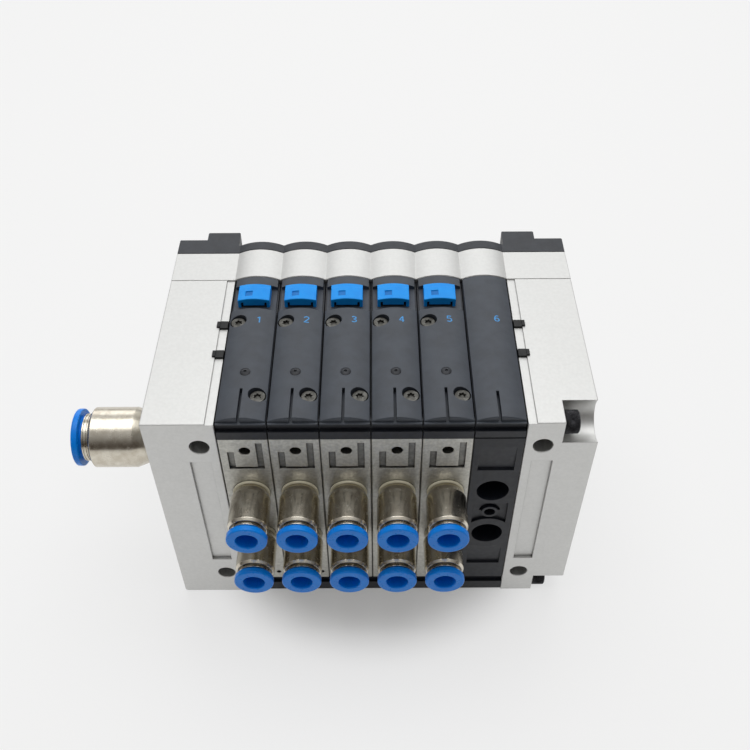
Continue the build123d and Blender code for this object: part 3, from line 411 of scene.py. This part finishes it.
def piece(name, shape, finish, body="island", replaced=None):
    """Makes a mesh object from a shape in millimetres: merged, faces outwards, smooth but for sharp edges.

    It rides on a body, and takes the place of a CAD node where one is given."""
    points, faces = shape
    mesh = bpy.data.meshes.new(name)
    mesh.from_pydata((points * MM).tolist(), [], faces.tolist())
    made = bmesh.new()
    made.from_mesh(mesh)
    bmesh.ops.remove_doubles(made, verts=made.verts, dist=MERGE_MM * MM)
    bmesh.ops.dissolve_degenerate(made, dist=MERGE_MM * MM, edges=made.edges)
    bmesh.ops.recalc_face_normals(made, faces=made.faces)
    made.to_mesh(mesh)
    made.free()
    mesh.polygons.foreach_set("use_smooth", [True] * len(mesh.polygons))
    mesh.set_sharp_from_angle(angle=math.radians(SHARP_DEGREES))
    mesh.materials.append(finish)
    thing = bpy.data.objects.new(name, mesh)
    bpy.context.collection.objects.link(thing)
    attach(thing, body)
    if replaced:
        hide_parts(replaced)


# Push-in fittings. Heights run along the axis, outwards from the face that a fitting is screwed into.

SMALL = {
    "shank_r": 5.95, "shank": 9.0, "seal_t": 0.9, "seal_r": 6.9, "shoulder_r": 6.2,
    "taper": 2.5, "taper_r": 7.1, "body_start": 4.2, "body_r": 7.45, "body_end": 16.5,
    "nose": 1.1, "nose_r": 6.9, "neck_r": 6.3, "neck_end": 18.7, "bore_r": 5.4,
    "snap": 12.6, "undercut_r": 5.8, "shelf": 9.6, "relief_r": 4.9, "relief": 9.1, "tube_r": 4.05,
    "groove_out": 8.4, "groove_in": 6.8, "groove_r": 5.2, "stop": 4.0, "flow_r": 3.0,
    "ring_back": 19.8, "ring_front": 22.1, "ring_r": 7.4, "ring_edge": 0.6, "sleeve_end": 11.2,
    "bead_r": 5.7, "bead_top": 12.5, "mouth": 0.3,
}
LARGE = {
    "shank_r": 8.25, "shank": 11.0, "seal_t": 1.0, "seal_r": 9.6, "shoulder_r": 8.7,
    "taper": 5.2, "taper_r": 10.7, "body_start": 7.7, "body_r": 11.3, "body_end": 23.2,
    "nose": 1.1, "nose_r": 9.7, "neck_r": 8.9, "neck_end": 26.9, "bore_r": 8.0,
    "snap": 17.1, "undercut_r": 8.5, "shelf": 13.6, "relief_r": 7.2, "relief": 12.95, "tube_r": 6.05,
    "groove_out": 12.0, "groove_in": 9.8, "groove_r": 7.6, "stop": 6.0, "flow_r": 4.8,
    "ring_back": 27.9, "ring_front": 30.2, "ring_r": 10.75, "ring_edge": 0.7, "sleeve_end": 15.4,
    "bead_r": 8.4, "bead_top": 17.0, "mouth": 0.4,
}
SLEEVE_CLEAR = 0.1
ROUND_STEPS = 112
NECK_STEPS = 7
GROOVE_STARTS = (1, 4)
GROOVE_DEPTH = 0.22
GROOVE_PROFILE = ((0, 0), (1, 0.3), (1, 1.2), (0, 1.5))


def fitting_shape(size):
    """A fitting's turned body with eased rims and two fine grooves round its neck.

    The neck is NECK_STEPS long. A groove's profile is in shares of its depth, and in those steps."""
    nose = size["body_end"] + size["nose"]
    step = (size["neck_end"] - nose) / NECK_STEPS
    neck = size["neck_r"]
    grooves = [(neck - share * GROOVE_DEPTH, nose + start * step + along * step, 0)
               for start in GROOVE_STARTS for share, along in GROOVE_PROFILE]
    corners = [
        (size["flow_r"], -size["shank"], 0.3), (size["shank_r"], -size["shank"], 0.3),
        (size["shank_r"], size["seal_t"], 0), (size["shoulder_r"], size["seal_t"], 0.15),
        (size["taper_r"], size["seal_t"] + size["taper"], 0.12),
        (size["body_r"], size["body_start"], 0.25), (size["body_r"], size["body_end"], 0.35),
        (size["nose_r"], nose, 0.2), (neck, nose, 0), *grooves,
        (neck, size["neck_end"], 0.15), (size["bore_r"], size["neck_end"], 0.15),
        (size["bore_r"], size["snap"], 0), (size["undercut_r"], size["snap"], 0),
        (size["undercut_r"], size["shelf"], 0), (size["relief_r"], size["shelf"], 0),
        (size["tube_r"], size["relief"], 0), (size["tube_r"], size["groove_out"], 0),
        (size["groove_r"], size["groove_out"], 0), (size["groove_r"], size["groove_in"], 0),
        (size["tube_r"], size["groove_in"], 0), (size["tube_r"], size["stop"], 0),
        (size["flow_r"], size["stop"], 0),
    ]
    return lathe(eased(corners, 3), ROUND_STEPS)


def ring_shape(size):
    """A release ring: a soft-edged flange, and a sleeve with a bead that snaps into the fitting."""
    sleeve = size["bore_r"] - SLEEVE_CLEAR
    tube = size["tube_r"]
    corners = [
        (tube + size["mouth"], size["ring_front"], 0.2), (tube, size["ring_front"] - size["mouth"], 0.2),
        (tube, size["sleeve_end"], 0.1), (sleeve, size["sleeve_end"], 0.1),
        (size["bead_r"], size["bead_top"], 0.05), (sleeve, size["bead_top"], 0),
        (sleeve, size["ring_back"], 0.15), (size["ring_r"], size["ring_back"], 0.3),
        (size["ring_r"], size["ring_front"], size["ring_edge"]),
    ]
    return lathe(eased(corners, 5), ROUND_STEPS)


def seal_shape(size):
    """A flat seal ring with a rounded rim."""
    corners = [(size["shank_r"], 0, 0), (size["seal_r"], 0, 0.2), (size["seal_r"], size["seal_t"], 0.3),
               (size["shank_r"], size["seal_t"], 0)]
    return lathe(eased(corners, 4), ROUND_STEPS)


def middle_mm(node):
    """The middle of a node's box in millimetres."""
    low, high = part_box(node)
    return (np.array(low) + np.array(high)) / 2 / MM


def fittings():
    """The fittings with their release rings and seals, each on the axis of its CAD ring."""
    seals = []
    for number in VALVES:
        bodies = []
        for level in ("lower", "upper"):
            ring = "release_ring_%d_%s" % (number, level)
            x, _, z = middle_mm(ring)
            at = (x, FRONT_MM, z)
            bodies.append(placed(fitting_shape(SMALL), FRONT, at))
            seals.append(placed(seal_shape(SMALL), FRONT, at))
            piece(ring + "_moulding", placed(ring_shape(SMALL), FRONT, at), RING_ACETAL,
                  body=ring, replaced=ring)
        node = "port_fittings_%d" % number
        piece(node + "_turning", joined(bodies), NICKEL, replaced=node)
    _, y, z = middle_mm("supply_release_ring")
    at = (OUTER_MM, y, z)
    piece("supply_fitting_turning", placed(fitting_shape(LARGE), LEFT, at), NICKEL,
          replaced="supply_fitting")
    piece("supply_ring_moulding", placed(ring_shape(LARGE), LEFT, at), RING_ACETAL,
          body="supply_release_ring", replaced="supply_release_ring")
    seals.append(placed(seal_shape(LARGE), LEFT, at))
    piece("seat_seal_rings", joined(seals), SEAL_PLASTIC, replaced="seat_seals")


# Screws and rods. Heights run from under the head, outwards.

SCREW_PLACES = ((-5.2, 50.5), (5.1, 12.6))
SCREW_TURN = 0.7
SCREW = {"head_r": 2.9, "head": 1.3, "shank_r": 1.5, "length": 5.0, "socket_r": 1.2, "socket": 0.9,
         "lobe": 0.2, "lobes": 6, "crown": 0.45, "steps": 96}
ROD = {"head_r": 4.25, "head": 5.6, "socket_r": 2.15, "socket": 2.5, "mouth": 0.15, "knurl": 0.22,
       "ridges": 36, "rows": 24, "row_top": 0.6, "row_foot": 0.2, "chamfer": 0.35, "r": 2.4}
ROD_CROWN = ((0.9, 0), (0.6, 0.08), (0.15, 0.45))
REAR_ROD_Z = (23.4 - ORIGIN_UP_MM, 86.0 - ORIGIN_UP_MM)


def screw_shape():
    """A low head with a six-lobed socket, whose radius swings by a cosine that has six turns round it."""
    top = SCREW["head"]
    bottom = top - SCREW["socket"]
    socket = SCREW["socket_r"]
    outline = eased([
        (0, bottom, 0), *((socket + outwards, height, 0) for outwards, height in
                          ((-0.15, bottom), (-0.05, top - 0.12), (0.1, top), (0.5, top))),
        (SCREW["head_r"], top, SCREW["crown"]), (SCREW["head_r"], 0, 0), (SCREW["shank_r"], 0, 0),
        (SCREW["shank_r"], -SCREW["length"], 0), (0, -SCREW["length"], 0),
    ], 5)

    def lobes(angle, points):
        inside = (points[:, 0] > 0) & (points[:, 0] < socket + SCREW["lobe"]) & (points[:, 1] > 0)
        return SCREW["lobe"] * inside[:, None] * np.cos(SCREW["lobes"] * angle)[None, :]

    return lathe(outline, SCREW["steps"], lobes)


def rod_shape(length):
    """A rod with a knurled head: two sets of leaning grooves cut its radius, and a socket has six sides.

    At each point the knurl is the lower of two waves |sin|, one leaning each way along the axis."""
    head = ROD["head"]
    r = ROD["head_r"]
    cut = ROD["chamfer"]
    socket = ROD["socket_r"]
    rows = np.linspace(head - ROD["row_top"], cut + ROD["row_foot"], ROD["rows"])
    outline = np.array([
        (0, head - ROD["socket"]), (socket, head - ROD["socket"]), (socket, head - ROD["mouth"]),
        (socket + ROD["mouth"], head), *((r - inwards, head - down) for inwards, down in ROD_CROWN),
        *((r, row) for row in rows), (r - cut, 0), (ROD["r"], 0), (ROD["r"], -length), (0, -length),
    ])

    def knurl(angle, points):
        ridged = (points[:, 0] == r)[:, None]
        half = ROD["ridges"] / 2
        lean = half / r * points[:, 1:2]
        one = np.abs(np.sin(half * angle[None, :] + lean))
        other = np.abs(np.sin(half * angle[None, :] - lean))
        ridge = np.minimum(one, other) - 1
        sided = ((points[:, 0] > 0) & (points[:, 0] <= socket) & (points[:, 1] > 0))[:, None]
        from_side = np.mod(angle, np.pi / 3) - np.pi / 6
        side = socket * (np.cos(np.pi / 6) / np.cos(from_side) - 1)[None, :]
        return ridged * ROD["knurl"] * ridge + sided * side

    return lathe(outline, 6 * ROD["ridges"], knurl)


def small_hardware():
    """Cover screws and rods, each where the CAD has it. Every screw stops at another turn."""
    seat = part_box("cover_screws")[1][2] / MM - SCREW["head"]
    screws = []
    for number in VALVES:
        middle = middle_mm("valve_cover_%d" % number)[0]
        for aside, y in SCREW_PLACES:
            turn = Matrix.Rotation(SCREW_TURN * number + aside, 3, "Z")
            screws.append(placed(screw_shape(), turn, (middle + aside, FRONT_MM + y, seat)))
    piece("cover_screws_lobed", joined(screws), PHOSPHATE, replaced="cover_screws")
    low, high = (np.array(corner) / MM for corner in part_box("tie_rods"))
    seat_x = high[0] - ROD["head"]
    length = seat_x - low[0]
    r = ROD["head_r"]
    places = [(low[1] + r, z) for z in (low[2] + r, high[2] - r)] + [(high[1] - r, z) for z in REAR_ROD_Z]
    rods = [placed(rod_shape(length), RIGHT, (seat_x, y, z)) for y, z in places]
    piece("tie_rods_knurled", joined(rods), BLACK_STEEL, replaced="tie_rods")


# Print and marks. A digit is drawn as lines of points, in shares of its height.

DIGITS = {
    1: [[(0.10, 0.78), (0.36, 1.0), (0.36, 0.0)]],
    2: [[(0.0, 0.78), (0.08, 0.93), (0.28, 1.0), (0.50, 0.93), (0.58, 0.75), (0.50, 0.55), (0.0, 0.0),
         (0.6, 0.0)]],
    3: [[(0.02, 0.88), (0.28, 1.0), (0.52, 0.88), (0.52, 0.68), (0.24, 0.54), (0.56, 0.38), (0.56, 0.16),
         (0.28, 0.0), (0.0, 0.12)]],
    4: [[(0.44, 0.0), (0.44, 1.0), (0.0, 0.3), (0.6, 0.3)]],
    5: [[(0.54, 1.0), (0.08, 1.0), (0.04, 0.56), (0.34, 0.63), (0.56, 0.48), (0.58, 0.2), (0.34, 0.0),
         (0.0, 0.08)]],
    6: [[(0.5, 0.94), (0.26, 1.0), (0.05, 0.72), (0.0, 0.3), (0.12, 0.05), (0.4, 0.0), (0.58, 0.24),
         (0.44, 0.54), (0.18, 0.56), (0.02, 0.36)]],
}
DIGIT_H = 3.0
DIGIT_HALF = 0.3 * DIGIT_H
DIGIT_STROKE = 0.45
DIGIT_AT = (2.7, 50.6)
MARK = {"x": -1.9, "y": 3.3, "side": 2.7}
PRINT_LIFT = 0.015


def stroke(line, width, step=0.12):
    """A flat band along a line: each point is set off to both sides, square to the way it goes."""
    line = np.asarray(line, float)
    reach = np.concatenate([[0], np.cumsum(np.linalg.norm(np.diff(line, axis=0), axis=1))])
    along = np.linspace(0, reach[-1], max(2, int(reach[-1] / step)))
    points = np.stack([np.interp(along, reach, line[:, 0]), np.interp(along, reach, line[:, 1])], axis=1)
    way = np.gradient(points, axis=0)
    way /= np.linalg.norm(way, axis=1)[:, None]
    side = np.stack([-way[:, 1], way[:, 0]], axis=1) * width / 2
    count = len(points)
    row = np.arange(count - 1)
    faces = np.stack([row, row + 1, row + 1 + count, row + count], axis=1)
    return np.concatenate([points + side, points - side]), faces


def laid(flat, node):
    """Flat points, in millimetres of X and Y, dropped onto a node and lifted off its surface a little."""
    points, faces = flat
    tree = BVHTree.FromObject(NODES[node], bpy.context.evaluated_depsgraph_get())
    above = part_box(node)[1][2] + MM
    heights = []
    for x, y in points * MM:
        hit = tree.ray_cast(Vector((x, y, above)), Vector((0, 0, -1)))[0]
        heights.append(hit.z / MM + PRINT_LIFT)
    return np.column_stack([points, heights]), faces


def station_digits():
    """A plain station number in pale ink on each cover, and a darker field in each clip's mark."""
    covers = ["valve_cover_%d" % number for number in VALVES] + ["blanking_cover"]
    bands = []
    for number, cover in enumerate(covers, start=1):
        x = middle_mm(cover)[0] + DIGIT_AT[0] - DIGIT_HALF
        y = FRONT_MM + DIGIT_AT[1] - DIGIT_H / 2
        for line in DIGITS[number]:
            bands.append(laid(stroke(np.array(line) * DIGIT_H + (x, y), DIGIT_STROKE), cover))
    piece("station_digits", joined(bands), INK)
    fields = []
    half = MARK["side"] / 2
    for number in VALVES:
        clip = "override_clip_%d" % number
        x = middle_mm(clip)[0] + MARK["x"]
        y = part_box(clip)[0][1] / MM + MARK["y"]
        fields.append(laid(stroke([(x - half, y), (x + half, y)], MARK["side"]), clip))
    piece("clip_mark_fields", joined(fields), MARK_ACETAL)


# Camera, floor and light

LENS = 44.77
CAMERA_AT = (2.083, -315.08, 295.35)
CAMERA_ANGLES = (-0.146, 46.26, -0.402)
FLOOR_R = 4.0
FLOOR_SIDES = 96
PAPER = "#F4F4F3"
PALE = "#F6F6F6"
# Painted light on the floor: the pale glow's share rises from PALE_SHARE[0] to PALE_SHARE[1] across the
# distances PALE_REACH from PALE_CENTRE, and that rise paints the shadow's edge.
PALE_CENTRE = (0.0, -0.06, -ORIGIN_UP_MM * MM)
PALE_REACH = (0.056, 0.085)
PALE_SHARE = (0.24, 0.7)
ROOM = "#453D36"
SKY = "#DCDDDE"
SKY_BACK = 0.5
SKY_ASIDE = -0.3
SKY_SPAN = (-0.45, 1.1)
LAMPS = {
    "overhead": {"at": (0, 0.12, 1.1), "aim": (0, 0, 0), "size": (1.2, 0.8), "watts": 6.3},
    "back_softbox": {"at": (0, 1.3, 0.62), "aim": (0, -0.05, 0), "size": (1.6, 0.7), "watts": 4.2},
}


def photograph_camera():
    """A camera where the photograph was taken from: turned from +Y, tipped down and rolled a little."""
    turn, down, roll = (math.radians(angle) for angle in CAMERA_ANGLES)
    ahead = Vector((math.sin(turn) * math.cos(down), math.cos(turn) * math.cos(down), -math.sin(down)))
    right = Vector((math.cos(turn), -math.sin(turn), 0))
    up = right.cross(ahead)
    tilted_right = right * math.cos(roll) + up * math.sin(roll)
    tilted_up = up * math.cos(roll) - right * math.sin(roll)
    data = bpy.data.cameras.new("camera")
    data.lens = LENS
    data.sensor_width = 36
    data.clip_start = 0.01
    camera = bpy.data.objects.new("camera", data)
    turned = Matrix((tilted_right, tilted_up, -ahead)).transposed().to_4x4()
    camera.matrix_world = Matrix.Translation(Vector(CAMERA_AT) * MM) @ turned
    bpy.context.collection.objects.link(camera)
    bpy.context.scene.camera = camera


def floor():
    """A flat disc of paper, far wider than the view, at the height that the island stands on.

    Painted light: the camera and mirrors see it glow paler with distance from the island, and the rise of
    that glow paints the outer edge of the shadow; near it they see the paper and the object's shadow."""
    angle = np.linspace(0, 2 * np.pi, FLOOR_SIDES, endpoint=False)
    low = np.full(FLOOR_SIDES, CAD_BOX[0][2])
    rim = np.stack([FLOOR_R * np.cos(angle), FLOOR_R * np.sin(angle), low], axis=1)
    mesh = bpy.data.meshes.new("floor")
    mesh.from_pydata(rim.tolist(), [], [list(range(FLOOR_SIDES))])
    made, tree, place = material("floor_paper")
    paper = add(tree, "ShaderNodeBsdfDiffuse", {"Color": linear(PAPER)})
    pale = add(tree, "ShaderNodeEmission", {"Color": linear(PALE), "Strength": 1.0})
    rays = add(tree, "ShaderNodeLightPath").outputs
    mirrored = add(tree, "ShaderNodeMath", {"operation": "MAXIMUM"},
                   _0=rays["Is Glossy Ray"], _1=rays["Is Transmission Ray"])
    seen = add(tree, "ShaderNodeMath", {"operation": "MAXIMUM"},
               _0=rays["Is Camera Ray"], _1=mirrored.outputs[0])
    offset = add(tree, "ShaderNodeVectorMath", {"operation": "SUBTRACT", 1: PALE_CENTRE}, _0=place)
    away = add(tree, "ShaderNodeVectorMath", {"operation": "LENGTH"}, _0=offset.outputs[0])
    # Painted light: the glow's share grows with distance from the island.
    painted_glow_share = add(tree, "ShaderNodeMapRange", {
        "interpolation_type": "SMOOTHSTEP", "From Min": PALE_REACH[0], "From Max": PALE_REACH[1],
        "To Min": PALE_SHARE[0], "To Max": PALE_SHARE[1]}, Value=away.outputs["Value"])
    share = add(tree, "ShaderNodeMath", {"operation": "MULTIPLY"},
                _0=seen.outputs[0], _1=painted_glow_share.outputs[0])
    shader = add(tree, "ShaderNodeMixShader",
                 _0=share.outputs[0], _1=paper.outputs[0], _2=pale.outputs[0])
    add(tree, "ShaderNodeOutputMaterial", Surface=shader.outputs[0])
    mesh.materials.append(made)
    disc = bpy.data.objects.new("floor", mesh)
    bpy.context.collection.objects.link(disc)


def lamps():
    """Soft boxes, each turned to face the point that it aims at."""
    for name, lamp in LAMPS.items():
        data = bpy.data.lights.new(name, "AREA")
        data.shape = "RECTANGLE"
        data.size, data.size_y = lamp["size"]
        data.energy = lamp["watts"]
        box = bpy.data.objects.new(name, data)
        box.location = lamp["at"]
        box.rotation_euler = (Vector(lamp["aim"]) - box.location).to_track_quat("-Z", "Y").to_euler()
        bpy.context.collection.objects.link(box)


def surroundings():
    """A sky that grows from the dim, warm room in front and at the sides to the pale top and back.

    It is a smooth step of Z, of SKY_BACK times Y, and of SKY_ASIDE times the distance to the side."""
    world = bpy.data.worlds.new("studio")
    bpy.context.scene.world = world
    world.use_nodes = True
    tree = world.node_tree
    tree.nodes.clear()
    axes = add(tree, "ShaderNodeSeparateXYZ", Vector=add(tree, "ShaderNodeTexCoord").outputs["Generated"])
    aside = add(tree, "ShaderNodeMath", {"operation": "ABSOLUTE"}, _0=axes.outputs["X"])
    back = add(tree, "ShaderNodeMath", {"operation": "MULTIPLY_ADD", 1: SKY_BACK},
               _0=axes.outputs["Y"], _2=axes.outputs["Z"])
    height = add(tree, "ShaderNodeMath", {"operation": "MULTIPLY_ADD", 1: SKY_ASIDE},
                 _0=aside.outputs[0], _2=back.outputs[0])
    share = add(tree, "ShaderNodeMapRange", {
        "interpolation_type": "SMOOTHSTEP", "From Min": SKY_SPAN[0], "From Max": SKY_SPAN[1]},
        Value=height.outputs[0])
    colour = add(tree, "ShaderNodeMix", {"data_type": "RGBA", 6: linear(ROOM), 7: linear(SKY)},
                 _0=share.outputs[0])
    sky = add(tree, "ShaderNodeBackground", Color=colour.outputs[2])
    add(tree, "ShaderNodeOutputWorld", Surface=sky.outputs[0])


bpy.context.scene.view_settings.view_transform = "Standard"
dress_nodes()
fittings()
small_hardware()
station_digits()
photograph_camera()
floor()
surroundings()
lamps()
